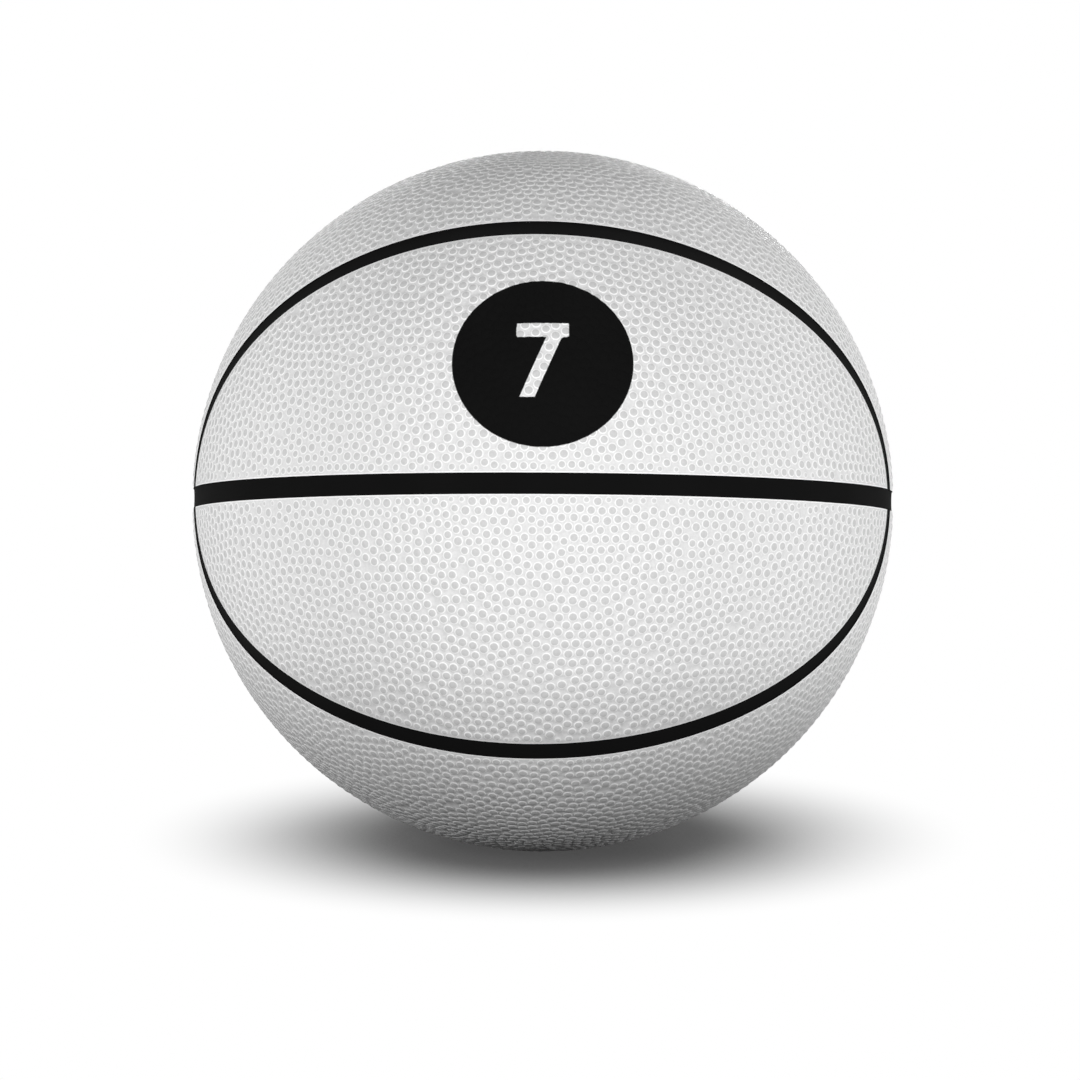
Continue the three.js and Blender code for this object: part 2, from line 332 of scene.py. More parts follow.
def neighbours(places):
    """The nearest other pebbles of each one, and how far away they are."""
    tree = kdtree.KDTree(len(places))
    listed = places.tolist()
    for index, place in enumerate(listed):
        tree.insert(place, index)
    tree.balance()
    found = [tree.find_n(place, PEBBLE_NEIGHBOURS + 1)[1:] for place in listed]
    near = np.array([[index for _, index, _ in row] for row in found])
    gaps = np.array([[gap for _, _, gap in row] for row in found])
    return near, gaps


def within_oval(places):
    """Whether an oval surrounds each pebble."""
    side, depth, height = places[:, 0], np.abs(places[:, 1]), places[:, 2]
    share = np.arccos(depth) / np.hypot(side, height)
    return np.hypot(side * share / OVAL_LENGTH_ANGLE, height * share / OVAL_HEIGHT_ANGLE) < 1


def pebble_table():
    """Every pebble: its direction, its foot's radius and turn, its strength, and whether an oval
    surrounds it. Pebbles fade beside a channel or the valve."""
    places = scatter_pebbles()
    _, gaps = neighbours(places)
    room = edge_room(places)
    kinds = [("place", float, 3), ("foot", float), ("turn", float), ("strength", float), ("within", bool)]
    table = np.zeros(len(places), dtype=kinds)
    table["place"] = places
    table["foot"] = np.minimum(gaps[:, 0] * BALL_RADIUS / 2, np.minimum(room, PEBBLE_FOOT)) - PEBBLE_GAP
    table["turn"] = np.random.default_rng(SEED).uniform(0, 2 * math.pi, len(places))
    table["strength"] = np.clip(room / FADE_WIDTH, 0, 1)
    table["within"] = within_oval(places)
    return table[table["foot"] > PEBBLE_LEAST_FOOT]


# Size mark
def mark_frame():
    """The frame of the printed mark on the ball: its middle on the cover, X level and Z straight out."""
    rise, side = math.radians(MARK_RISE), math.radians(MARK_SIDE)
    out = Vector((math.cos(rise) * math.sin(side), -math.cos(rise) * math.cos(side), math.sin(rise)))
    level = BALL_TURN.inverted() @ X
    level = (level - out * level.dot(out)).normalized()
    axes = Matrix((level, out.cross(level), out)).transposed().to_4x4()
    return Matrix.Translation(out * BALL_RADIUS) @ axes


def ink_depth(place):
    """How far inside the ink a place in the mark's frame is: a disc with a plain 7 left bare."""
    disc = MARK_RADIUS - math.hypot(place.x, place.y)
    height = abs(place.y) - NUMBER_HALF_HEIGHT
    below_bar = NUMBER_HALF_HEIGHT - NUMBER_STROKE - place.y
    bar = max(abs(place.x) - NUMBER_HALF_WIDTH, height, below_bar)
    lean = abs(place.x - NUMBER_LEG_SLANT * place.y - NUMBER_LEG_SHIFT)
    leg = max(lean - NUMBER_STROKE / 2, height)
    return min(disc, bar, leg)


def print_mark(bm, ink):
    """Keeps the depth of the ink on every vertex, and gives faces that are all ink the ink's finish."""
    to_mark = mark_frame().inverted()
    for vert in bm.verts:
        vert[ink] = ink_depth(to_mark @ vert.co)
    for face in bm.faces:
        face.material_index = int(min(vert[ink] for vert in face.verts) > INK_EDGE)


# Mesh operations
def flatten(verts, middle):
    """Places of vertices on the plane that touches the ball at a middle, seen from the ball's far side."""
    axes = np.array(middle.to_track_quat("Z", "Y").to_matrix())
    away = np.array([vert.co.normalized() for vert in verts]) @ axes
    return 2 * away[:, :2] / (1 + away[:, 2:])


def fill(bm, middle, outline, holes, points=()):
    """Triangles over the ball inside an outline of vertices, around its holes and through loose points."""
    verts = [*outline, *(vert for hole in holes for vert in hole), *points]
    number = {vert: index for index, vert in enumerate(verts)}
    loops = [[number[vert] for vert in loop] for loop in (outline, *holes)]
    flat = [Vector(place) for place in flatten(verts, middle).tolist()]
    made = delaunay_2d_cdt(flat, [], loops, FILL_INSIDE, FILL_TOLERANCE, True)
    _, _, triangles, sources, _, areas = made
    for corners, area in zip(triangles, areas):
        # A triangle in the first loop alone, the outline, is in no hole.
        if area == [0]:
            bm.faces.new([verts[sources[corner][0]] for corner in corners])


def add_verts(bm, places):
    return [bm.verts.new(place) for place in places]


def loop_edges(bm, loop):
    return [bm.edges.get((vert, loop[index - 1])) for index, vert in enumerate(loop)]


def extrude_loop(bm, loop, places):
    """Extrudes a closed loop of vertices to new places and gives the new loop."""
    made = bmesh.ops.extrude_edge_only(bm, edges=loop_edges(bm, loop))["geom"]
    tips = {item for item in made if isinstance(item, bmesh.types.BMVert)}
    moved = []
    for vert, place in zip(loop, places):
        tip = next(edge.other_vert(vert) for edge in vert.link_edges if edge.other_vert(vert) in tips)
        tip.co = place
        moved.append(tip)
    return moved


def circle_corners(segments):
    """The corners of a circle of radius 1, in order."""
    bm = bmesh.new()
    made = bmesh.ops.create_circle(bm, radius=1, segments=segments)
    corners = [vert.co.copy() for vert in made["verts"]]
    bm.free()
    return corners


def turned(profile, steps=VALVE_STEPS):
    """A solid of revolution about Z, from pairs of radius and height that start and end on the axis
    or close on themselves."""
    bm = bmesh.new()
    line = add_verts(bm, [(radius, 0, height) for radius, height in profile])
    edges = [bm.edges.new(pair) for pair in zip(line, line[1:])]
    bmesh.ops.spin(
        bm, geom=line + edges, cent=(0, 0, 0), axis=Z, angle=2 * math.pi, steps=steps, use_merge=True,
    )
    bmesh.ops.remove_doubles(bm, verts=bm.verts, dist=MERGE_DISTANCE)
    return bm


def round_edges(bm, width):
    """Rounds every edge where two faces meet at a steep angle."""
    bm.normal_update()
    steep = math.radians(ROUND_ANGLE)
    bmesh.ops.bevel(
        bm, geom=[edge for edge in bm.edges if edge.is_manifold and edge.calc_face_angle() > steep],
        offset=width, offset_type="OFFSET", affect="EDGES", segments=EDGE_STEPS, profile=0.5, material=-1,
    )


def new_object(bm, name, materials):
    """An object in the scene with the mesh of a bmesh, which is freed."""
    mesh = bpy.data.meshes.new(name)
    bm.to_mesh(mesh)
    bm.free()
    for material in materials:
        mesh.materials.append(material)
    made = bpy.data.objects.new(name, mesh)
    bpy.context.scene.collection.objects.link(made)
    return made


def finish_piece(bm, name, materials, node, body="ball"):
    """Makes a bmesh in the part's frame a piece that stands for a CAD node and rides with a body."""
    bmesh.ops.recalc_face_normals(bm, faces=bm.faces)
    if bm.calc_volume(signed=True) < 0:
        bmesh.ops.reverse_faces(bm, faces=bm.faces)
    piece = new_object(bm, name, materials)
    mesh = piece.data
    mesh.polygons.foreach_set("use_smooth", [True] * len(mesh.polygons))
    mesh.set_sharp_from_angle(angle=math.radians(SHARP_ANGLE))
    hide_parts(node)
    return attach(piece, body)


# Cover panels
def lay_pebbles(bm, pebbles):
    """The round feet of pebbles on the ground of a panel."""
    corners = circle_corners(PEBBLE_SIDES)
    feet = []
    for place, foot, turn in pebbles[["place", "foot", "turn"]].tolist():
        out = Vector(place)
        stand = (
            Matrix.Translation(out * math.sqrt(GROUND_RADIUS**2 - foot**2))
            @ out.to_track_quat("Z", "Y").to_matrix().to_4x4()
            @ Matrix.Rotation(turn, 4, "Z")
            @ Matrix.Scale(foot, 4)
        )
        feet.append(bm.faces.new(add_verts(bm, [stand @ corner for corner in corners])))
    return feet


def raise_pebbles(bm, feet, strengths, tone, strength_layer):
    """Insets each round foot into a low dome: its rim, toned as a painted highlight, then its top, toned as
    painted shade, which swells to a crown.
    """
    bm.normal_update()
    for face, strength in zip(feet, strengths):
        for vert in face.verts:
            vert[strength_layer] = strength
    below = 0.0
    # Each ring's tone paints light on the dome: a highlight on its rim, shade on its top.
    for width, share, ring_painted_tone in PEBBLE_RINGS:
        bmesh.ops.inset_individual(bm, faces=feet, thickness=width, use_even_offset=True)
        for face, strength in zip(feet, strengths):
            lift = face.calc_center_median().normalized() * ((share - below) * PEBBLE_HEIGHT * strength)
            for vert in face.verts:
                vert.co += lift
                vert[tone] = ring_painted_tone
                vert[strength_layer] = strength
        below = share
    crowns = bmesh.ops.poke(bm, faces=feet, offset=PEBBLE_CROWN)["verts"]
    for vert, strength in zip(crowns, strengths):
        vert[tone] = TOP_SHADE_TONE
        vert[strength_layer] = strength


def cover_panel(quarter, kind, pebbles, materials):
    """One panel: pebbled ground, a bare border with a band of painted highlight, a round shoulder, a wall
    and an underside. Its second material is the black of the wall and of full ink."""
    name = f"panel_{quarter}_{kind}"
    spin = QUARTERS[quarter]
    tilt = PANEL_MIDDLE[kind]
    middle = spin @ Vector((0, -math.cos(tilt), math.sin(tilt)))
    rims = [OUTLINES[kind]]
    if name == "panel_rear_upper_inner":
        rims.append(valve_outline)

    def rim_places(rim, inset, radius):
        return [spin @ place for place in rim(inset, radius)]

    bm = bmesh.new()
    tone = bm.verts.layers.float.new("tone")
    strength = bm.verts.layers.float.new("strength")
    ink = bm.verts.layers.float.new("ink")
    border = CHANNEL_HALF_WIDTH + BORDER_WIDTH
    loops = [add_verts(bm, rim_places(rim, border, GROUND_RADIUS)) for rim in rims]
    feet = lay_pebbles(bm, pebbles)
    fill(bm, middle, loops[0], [*loops[1:], *(list(face.verts) for face in feet)])
    raise_pebbles(bm, feet, pebbles["strength"].tolist(), tone, strength)
    if name == "panel_front_upper_inner":
        print_mark(bm, ink)

    shoulders = []
    bottoms = []
    for rim, loop in zip(rims, loops):
        highlight_band = extrude_loop(bm, loop, rim_places(rim, CHANNEL_HALF_WIDTH + HIGHLIGHT_BAND_WIDTH, GROUND_RADIUS))
        shoulder = extrude_loop(bm, highlight_band, rim_places(rim, CHANNEL_HALF_WIDTH, GROUND_RADIUS))
        bottom = extrude_loop(bm, shoulder, rim_places(rim, CHANNEL_HALF_WIDTH, COVER_INNER))
        # The band and the shoulder take the rim's tone: a painted highlight along the channel's edge.
        for vert in highlight_band + shoulder + bottom:
            vert[tone] = RIM_HIGHLIGHT_TONE
            vert[strength] = 1.0
        for edge in loop_edges(bm, bottom):
            edge.link_faces[0].material_index = 1
        shoulders += loop_edges(bm, shoulder)
        bottoms.append(bottom)
    points = add_verts(bm, [Vector(place) * COVER_INNER for place in pebbles["place"].tolist()])
    for vert in points:
        vert[ink] = BARE_DEPTH
    fill(bm, middle, bottoms[0], bottoms[1:], points)
    bmesh.ops.recalc_face_normals(bm, faces=bm.faces)
    rounded = bmesh.ops.bevel(
        bm, geom=shoulders, offset=SHOULDER_RADIUS, offset_type="OFFSET", affect="EDGES",
        segments=SHOULDER_STEPS, profile=0.5, material=-1,
    )
    for face in rounded["faces"]:
        face.material_index = int(face.calc_center_median().length < INK_RADIUS)
    bm.transform(BALL)
    # The ball's weight flattens it on the floor.
    for vert in bm.verts:
        vert.co.z = max(vert.co.z, 0)
    return finish_piece(bm, "cover_" + name, materials, name)


def cover_panels(plain, printed, ink):
    pebbles = pebble_table()
    front = pebbles["place"][:, 1] < 0
    upper = pebbles["place"][:, 2] > 0
    for quarter in QUARTERS:
        side, half = quarter.split("_")
        in_quarter = (front == (side == "front")) & (upper == (half == "upper"))
        for kind in OUTLINES:
            mine = in_quarter & (pebbles["within"] == (kind == "inner"))
            face = printed if (quarter, kind) == ("front_upper", "inner") else plain
            cover_panel(quarter, kind, pebbles[mine], [face, ink])


# Channel strips
def channel_strip(name, seam, first, last, spin, material):
    """A strip with a dished face: a bar extruded from its section, and bent along its seam."""
    side = CHANNEL_HALF_WIDTH - STRIP_SIDE_GAP
    section = [(-side, STRIP_FLOOR), (side, STRIP_FLOOR)]
    for share in np.linspace(1, -1, STRIP_FACE_POINTS).tolist():
        section.append((side * share, STRIP_FACE - STRIP_DISH * (1 - share**2)))
    bm = bmesh.new()
    end = bm.faces.new(add_verts(bm, [(first, offset, radius) for offset, radius in section]))
    made = bmesh.ops.extrude_face_region(bm, geom=[end])["geom"]
    far = [item for item in made if isinstance(item, bmesh.types.BMVert)]
    bmesh.ops.translate(bm, verts=far, vec=X * (last - first))
    long_edges = [edge for edge in bm.edges if edge.verts[0].co.x != edge.verts[1].co.x]
    bmesh.ops.subdivide_edges(bm, edges=long_edges, cuts=STRIP_STEPS - 1, use_grid_fill=True)
    closed = last - first >= 2 * math.pi
    if closed:
        ends = [face for face in bm.faces if len(face.verts) == len(section)]
        bmesh.ops.delete(bm, geom=ends, context="FACES_ONLY")
    for vert in bm.verts:
        vert.co = spin @ beside(seam, *vert.co)
    if closed:
        bmesh.ops.remove_doubles(bm, verts=bm.verts, dist=MERGE_DISTANCE)
    bm.transform(BALL)
    return finish_piece(bm, "strip_" + name, [material], name)


def channel_strips(material):
    channel_strip("channel_equator", equator, 0, 2 * math.pi, Matrix.Identity(4), material)
    for seam, spins in (
        (meridian, {"meridian_upper": QUARTERS["front_upper"], "meridian_lower": QUARTERS["front_lower"]}),
        (oval, {f"oval_{quarter}": spin for quarter, spin in QUARTERS.items()}),
    ):
        rise = turn_at_height(seam, 0, STRIP_FACE, CHANNEL_HALF_WIDTH)
        for name, spin in spins.items():
            channel_strip(f"channel_{name}", seam, rise, math.pi - rise, spin, material)


# Valve
def valve_plug(material):
    bm = turned([
        (0, CORE_TIP),
        (CORE_TIP_RADIUS, CORE_TIP),
        (CORE_BODY_RADIUS, CORE_TIP + CORE_TIP_LENGTH),
        (CORE_BODY_RADIUS, CORE_HEAD_FLOOR),
        (CORE_HEAD_RADIUS, CORE_HEAD_FLOOR),
        (CORE_HEAD_RADIUS, CORE_FACE),
        (NEEDLE_HOLE_RADIUS + NEEDLE_LEAD_IN, CORE_FACE),
        (NEEDLE_HOLE_RADIUS, CORE_FACE - NEEDLE_LEAD_IN),
        (NEEDLE_HOLE_RADIUS, NEEDLE_HOLE_FLOOR),
        (0, NEEDLE_HOLE_FLOOR),
    ])
    round_edges(bm, CORE_EDGE)
    bm.transform(VALVE)
    return finish_piece(bm, "valve_plug", [material], "valve_core", body="valve_core")


def valve_boss(material):
    reach = np.linspace(STEM_RADIUS, FLANGE_RADIUS, FLANGE_STEPS + 1)
    under = np.sqrt((FLANGE_SEAT - FLANGE_THICKNESS) ** 2 - reach**2)
    over = np.sqrt(FLANGE_SEAT**2 - reach**2)
    bm = turned([
        (SLEEVE_BORE, SLEEVE_END),
        (STEM_RADIUS, SLEEVE_END),
        *zip(reach.tolist(), under.tolist()),
        *zip(reach[::-1].tolist(), over[::-1].tolist()),
        (STEM_RADIUS, STEM_TOP),
        (SLEEVE_BORE, STEM_TOP),
        (SLEEVE_BORE, SLEEVE_END),
    ])
    round_edges(bm, CORE_EDGE)
    bm.transform(VALVE)
    return finish_piece(bm, "valve_boss", [material], "valve_housing")


# Inner layers
def inner_layer(node, material):
    """A thin shell, turned about the valve's axis, with a hole for the stem of the valve's boss."""
    slot, *radii = LAYERS[node]
    arcs = []
    for radius in radii:
        hole = math.asin((STEM_RADIUS + BOND_GAP) / radius)
        angles = np.linspace(math.pi, hole, LAYER_STEPS + 1).tolist()
        arcs.append([(radius * math.sin(angle), radius * math.cos(angle)) for angle in angles])
    outside, inside = arcs
    bm = turned(outside + inside[::-1], LAYER_TURNS)
    bm.transform(VALVE)
    return finish_piece(bm, "layer_" + node, [material], node)


# Shader nodes
def add_node(tree, kind, sockets=None, **settings):
    """A shader node with its settings, and with its sockets linked or set."""
    made = tree.nodes.new("ShaderNode" + kind)
    for key, value in settings.items():
        setattr(made, key, value)
    for key, value in (sockets or {}).items():
        if isinstance(value, bpy.types.NodeSocket):
            tree.links.new(value, made.inputs[key])
        else:
            made.inputs[key].default_value = value
    return made


def math_node(tree, operation, *values):
    return add_node(tree, "Math", dict(enumerate(values)), operation=operation).outputs[0]


# A Mix node has sockets of one name for values and for colours, so these are found by their numbers.
def mix_colors(tree, share, first, second, blend="MIX"):
    made = add_node(tree, "Mix", {0: share, 6: first, 7: second}, data_type="RGBA", blend_type=blend)
    return made.outputs[2]


def mix_values(tree, share, first, second):
    return add_node(tree, "Mix", {0: share, 2: first, 3: second}, data_type="FLOAT").outputs[0]


def remap(tree, value, low, high, to_low, to_high, smooth=False):
    sockets = {"Value": value, "From Min": low, "From Max": high, "To Min": to_low, "To Max": to_high}
    kind = "SMOOTHSTEP" if smooth else "LINEAR"
    return add_node(tree, "MapRange", sockets, interpolation_type=kind).outputs["Result"]


def grey(value):
    return (value, value, value, 1)


def shaded(tree, color, shade):
    """A colour times a shade."""
    grey_shade = add_node(tree, "CombineColor", {key: shade for key in ("Red", "Green", "Blue")})
    return mix_colors(tree, 1.0, color, grey_shade.outputs["Color"], blend="MULTIPLY")


def shader_group(name, kind, inputs, outputs):
    """An empty node group with sockets of one type: inputs with their values, and outputs."""
    tree = bpy.data.node_groups.new(name, "ShaderNodeTree")
    for label, value in inputs.items():
        tree.interface.new_socket(label, in_out="INPUT", socket_type=kind).default_value = value
    for label in outputs:
        tree.interface.new_socket(label, in_out="OUTPUT", socket_type=kind)
    return tree, tree.nodes.new("NodeGroupInput"), tree.nodes.new("NodeGroupOutput")


def use_group(tree, group, sockets):
    """The outputs of a node group, placed in a tree with its own values."""
    return add_node(tree, "Group", sockets, node_tree=group).outputs


# Finishes, with sizes and reliefs in metres

# The cover: its gloss, its grain and relief, the colours of its tones, which are the valleys' white, a
# painted highlight on the pebbles' rims and a painted shade on their tops, the colour of its ink, and how
# much rougher the ink is.
COVER_SPECULAR = 0.06
COVER_GRAIN = {"Grain Size": 0.0009, "Roughness": 0.65, "Roughness Spread": 0.25, "Shade Spread": 0.3}
COVER_RELIEF = 0.00003
COVER_WHITE_AND_PAINTED_LIGHT = {"Valley": grey(0.74), "Rim Highlight": grey(0.93), "Top": grey(0.61)}
INK_COLOR = grey(0.004)
INK_ROUGHNESS = 0.3

# The tones over which the valley turns into the painted highlight on a pebble's rim, and that into the
# painted shade on its top.
RIM_HIGHLIGHT_BLEND = (0.0, 0.5)
TOP_SHADE_BLEND = (1.1, 1.9)

# The rubbers: their gloss and spreads, then the colour, roughness, grain size and relief of each.
RUBBER_SPECULAR = 0.05
RUBBER_SPREADS = {"Roughness Spread": 0.2, "Shade Spread": 0.5}
RUBBERS = {
    "channel_black": ((0.004, 0.004, 0.004, 1), 0.9, 0.0005, 0.00005),
    "valve_rubber": ((0.012, 0.012, 0.012, 1), 0.6, 0.0004, 0.00004),
    "carcass_rubber": ((0.045, 0.045, 0.048, 1), 0.8, 0.0008, 0.00008),
    "bladder_butyl": ((0.02, 0.02, 0.022, 1), 0.6, 0.0009, 0.00005),
}

# The noises of the grain, with values about a middle: a fine one, and a broad one by its waves in a metre.
FINE_NOISE = {"Detail": 3, "Roughness": 0.6}
BROAD_NOISE = {"Scale": 45, "Detail": 4, "Roughness": 0.55}
NOISE_MIDDLE = 0.5

# The wound yarn: its gloss and grain, the tilt of each lay in degrees, its pitch, how far and how finely it
# wanders, its relief, how far from the ball's middle its belt starts and ends to fade, its bundles in each
# metre along and across the yarn, where a bundle ends, and its colours: the yarn's own, and a darker one
# that paints shade where the relief is low, between strands. WAVE_BAND is the band of a wave texture whose
# scale is 1.
YARN_SPECULAR = 0.2
YARN_GRAIN = {"Grain Size": 0.0005, "Roughness": 0.75, "Roughness Spread": 0.2, "Shade Spread": 0.4}
YARN_TILTS = [(10, 0, 0), (100, 0, 0), (0, 80, 0), (55, 35, 0), (-50, 40, 0), (60, -40, 0)]
YARN_PITCH = 0.002
WAVE_BAND = math.pi / 10
YARN_SCALE = WAVE_BAND / YARN_PITCH
YARN_WANDER = 1.0
YARN_DETAIL = 1
YARN_RELIEF = 0.0004
YARN_BELT = (0.07, 0.079)
YARN_BUNDLES = (6, 6, 80)
YARN_BUNDLE_EDGE = (0.52, 0.55)
YARN_COLOR = (0.68, 0.64, 0.53, 1)
YARN_GAP_SHADE = (0.3, 0.27, 0.21, 1)


def surface_grain():
    """Fine grain of rubber, leather and yarn: a height, a roughness, and a shade that varies about 1."""
    outputs = ("Height", "Roughness", "Shade")
    tree, given, out = shader_group("surface_grain", "NodeSocketFloat", COVER_GRAIN, outputs)
    place = add_node(tree, "TexCoord").outputs["Object"]
    fine_scale = math_node(tree, "DIVIDE", 1, given.outputs["Grain Size"])
    fine = add_node(tree, "TexNoise", {"Vector": place, "Scale": fine_scale, **FINE_NOISE}).outputs["Fac"]
    broad = add_node(tree, "TexNoise", {"Vector": place, **BROAD_NOISE}).outputs["Fac"]
    fine_swing = math_node(tree, "SUBTRACT", fine, NOISE_MIDDLE)
    broad_swing = math_node(tree, "SUBTRACT", broad, NOISE_MIDDLE)
    both = math_node(tree, "ADD", fine_swing, broad_swing)
    spread = math_node(tree, "MULTIPLY", both, given.outputs["Roughness Spread"])
    shade = math_node(tree, "MULTIPLY", fine_swing, given.outputs["Shade Spread"])
    tree.links.new(fine, out.inputs["Height"])
    tree.links.new(math_node(tree, "ADD", given.outputs["Roughness"], spread), out.inputs["Roughness"])
    tree.links.new(math_node(tree, "ADD", 1, shade), out.inputs["Shade"])
    return tree


def pebble_painted_light():
    """The cover's colour: the valleys' white, a painted highlight on the pebbles' rims and painted shade on
    their tops, all nearer to the valleys' on a weak pebble.
    """
    tree, given, out = shader_group("pebble_painted_light", "NodeSocketColor", COVER_WHITE_AND_PAINTED_LIGHT, ("Color",))
    tone = add_node(tree, "Attribute", attribute_name="tone").outputs["Fac"]
    strength = add_node(tree, "Attribute", attribute_name="strength").outputs["Fac"]
    rim = remap(tree, tone, *RIM_HIGHLIGHT_BLEND, 0, 1, smooth=True)
    top = remap(tree, tone, *TOP_SHADE_BLEND, 0, 1, smooth=True)
    lower = mix_colors(tree, rim, given.outputs["Valley"], given.outputs["Rim Highlight"])
    upper = mix_colors(tree, top, lower, given.outputs["Top"])
    tree.links.new(mix_colors(tree, strength, given.outputs["Valley"], upper), out.inputs["Color"])
    return tree


# Materials
def new_material(name, sockets):
    """A material with values on its shader's sockets."""
    made = bpy.data.materials.new(name)
    made.use_nodes = True
    shader = made.node_tree.nodes["Principled BSDF"]
    for key, value in sockets.items():
        shader.inputs[key].default_value = value
    return made, made.node_tree, shader


def link_surface(tree, shader, color, roughness, height, relief):
    """Gives a material's shader its colour, its roughness and a bump."""
    bump = add_node(tree, "Bump", {"Height": height, "Distance": relief})
    tree.links.new(color, shader.inputs["Base Color"])
    tree.links.new(roughness, shader.inputs["Roughness"])
    tree.links.new(bump.outputs["Normal"], shader.inputs["Normal"])


def cover_material(name, grain, tones, printed):
    """White pebbled leather with a painted highlight on the pebbles' rims and painted shade on their tops,
    with or without the ink of the mark.
    """
    made, tree, shader = new_material(name, {"Specular IOR Level": COVER_SPECULAR})
    fine = use_group(tree, grain, COVER_GRAIN)
    color = shaded(tree, use_group(tree, tones, COVER_WHITE_AND_PAINTED_LIGHT)["Color"], fine["Shade"])
    roughness = fine["Roughness"]
    if printed:
        depth = add_node(tree, "Attribute", attribute_name="ink").outputs["Fac"]
        ink = remap(tree, depth, -INK_EDGE, INK_EDGE, 0, 1, smooth=True)
        color = mix_colors(tree, ink, color, INK_COLOR)
        roughness = math_node(tree, "MULTIPLY_ADD", ink, INK_ROUGHNESS, roughness)
    link_surface(tree, shader, color, roughness, fine["Height"], COVER_RELIEF)
    return made


def rubber_material(name, grain):
    color, roughness, size, relief = RUBBERS[name]
    made, tree, shader = new_material(name, {"Specular IOR Level": RUBBER_SPECULAR})
    fine = use_group(tree, grain, {"Grain Size": size, "Roughness": roughness, **RUBBER_SPREADS})
    color = shaded(tree, color, fine["Shade"])
    link_surface(tree, shader, color, fine["Roughness"], fine["Height"], relief)
    return made


def yarn_lay(tree, middle, tilt):
    """One lay of yarn about the ball's middle: its height, the belt that it keeps to, and its bundles."""
    turn = [math.radians(angle) for angle in tilt]
    place = add_node(tree, "Mapping", {"Vector": middle, "Rotation": turn}).outputs["Vector"]
    yarn = add_node(tree, "TexWave", {
        "Vector": place, "Scale": YARN_SCALE, "Distortion": YARN_WANDER, "Detail": YARN_DETAIL,
    }, wave_type="BANDS", bands_direction="Z").outputs["Fac"]
    away = math_node(tree, "ABSOLUTE", add_node(tree, "SeparateXYZ", {"Vector": place}).outputs["Z"])
    belt = remap(tree, away, *YARN_BELT, 1, 0, smooth=True)
    along = add_node(tree, "VectorMath", {0: place, 1: YARN_BUNDLES}, operation="MULTIPLY").outputs[0]
    noise = add_node(tree, "TexNoise", {"Vector": along, "Scale": 1, "Detail": YARN_DETAIL}).outputs["Fac"]
    bundles = remap(tree, noise, *YARN_BUNDLE_EDGE, 0, 1, smooth=True)
    return yarn, belt, bundles


def winding_material(grain):
    """Nylon yarn wound over the bladder, each lay in bundles over those before and where none is yet."""
    made, tree, shader = new_material("winding_nylon", {"Specular IOR Level": YARN_SPECULAR})
    fine = use_group(tree, grain, YARN_GRAIN)
    given = add_node(tree, "TexCoord").outputs["Object"]
    middle = add_node(tree, "Mapping", {"Vector": given, "Location": -BALL_CENTRE}).outputs["Vector"]
    height, bare = 0.0, 1.0
    for tilt in YARN_TILTS:
        yarn, belt, bundles = yarn_lay(tree, middle, tilt)
        shown = math_node(tree, "MULTIPLY", belt, math_node(tree, "MAXIMUM", bundles, bare))
        height = mix_values(tree, shown, height, yarn)
        bare = math_node(tree, "MULTIPLY", bare, math_node(tree, "SUBTRACT", 1, belt))
    # The yarn turns darker where its relief is low: painted shade in the gaps between strands.
    color = shaded(tree, mix_colors(tree, height, YARN_GAP_SHADE, YARN_COLOR), fine["Shade"])
    link_surface(tree, shader, color, fine["Roughness"], height, YARN_RELIEF)
    return made


# Stage, in metres

# The floor: half its width, its white beside the ball, and the share of light that it throws back.
FLOOR_HALF_WIDTH = 30.0
FLOOR_WHITE = 0.96
FLOOR_BOUNCE = 0.06

# The shadow on the floor: the lamps cast it, but its oval outline is painted by a fade to plain white. Its
# middle and its stretch, how far out it starts and ends to fade, the share of plain white in its middle,
# which paints light into the shadow, and how far off the ball a painted shadow from ambient occlusion still
# darkens the floor's colour. Then the light from all round.
SHADOW_CENTRE = (0.003, 0, 0)
SHADOW_STRETCH = (1.18, 0.89, 1)
SHADOW_REACH = (0.042, 0.126)
SHADOW_WHITE = 0.07
PAINTED_SHADOW_DISTANCE = 0.2
WORLD_LIGHT = 0.02

# A low black screen round the ball, which the camera doesn't see, keeps the lamps off its underside.
SCREEN_RADIUS = 0.55
SCREEN_HEIGHT = 0.092
SCREEN_STEPS = 64

# Soft lamps: how far from the ball they are and their height, then the direction of each from the ball, in
# degrees right of the camera and up, its width, and how bright it makes a white surface that faces it.
SOFTBOX_DISTANCE = 1.8
SOFTBOX_HEIGHT = 0.34
SOFTBOXES = {
    "left_softbox": (-58, 5, 0.7, 0.61),
    "right_softbox": (54, 5, 0.7, 0.85),
    "key_softbox": (-25, 20, 0.7, 0.34),
    "hair_softbox": (165, 45, 0.7, 0.25),
    "back_softbox": (180, 6, 0.9, 0.75),
}


def seen(tree):
    """Whether the camera sees a surface, itself or through a reflection or clear matter."""
    ray = add_node(tree, "LightPath").outputs
    mirrored = math_node(tree, "MAXIMUM", ray["Is Glossy Ray"], ray["Is Transmission Ray"])
    return math_node(tree, "MAXIMUM", ray["Is Camera Ray"], mirrored)


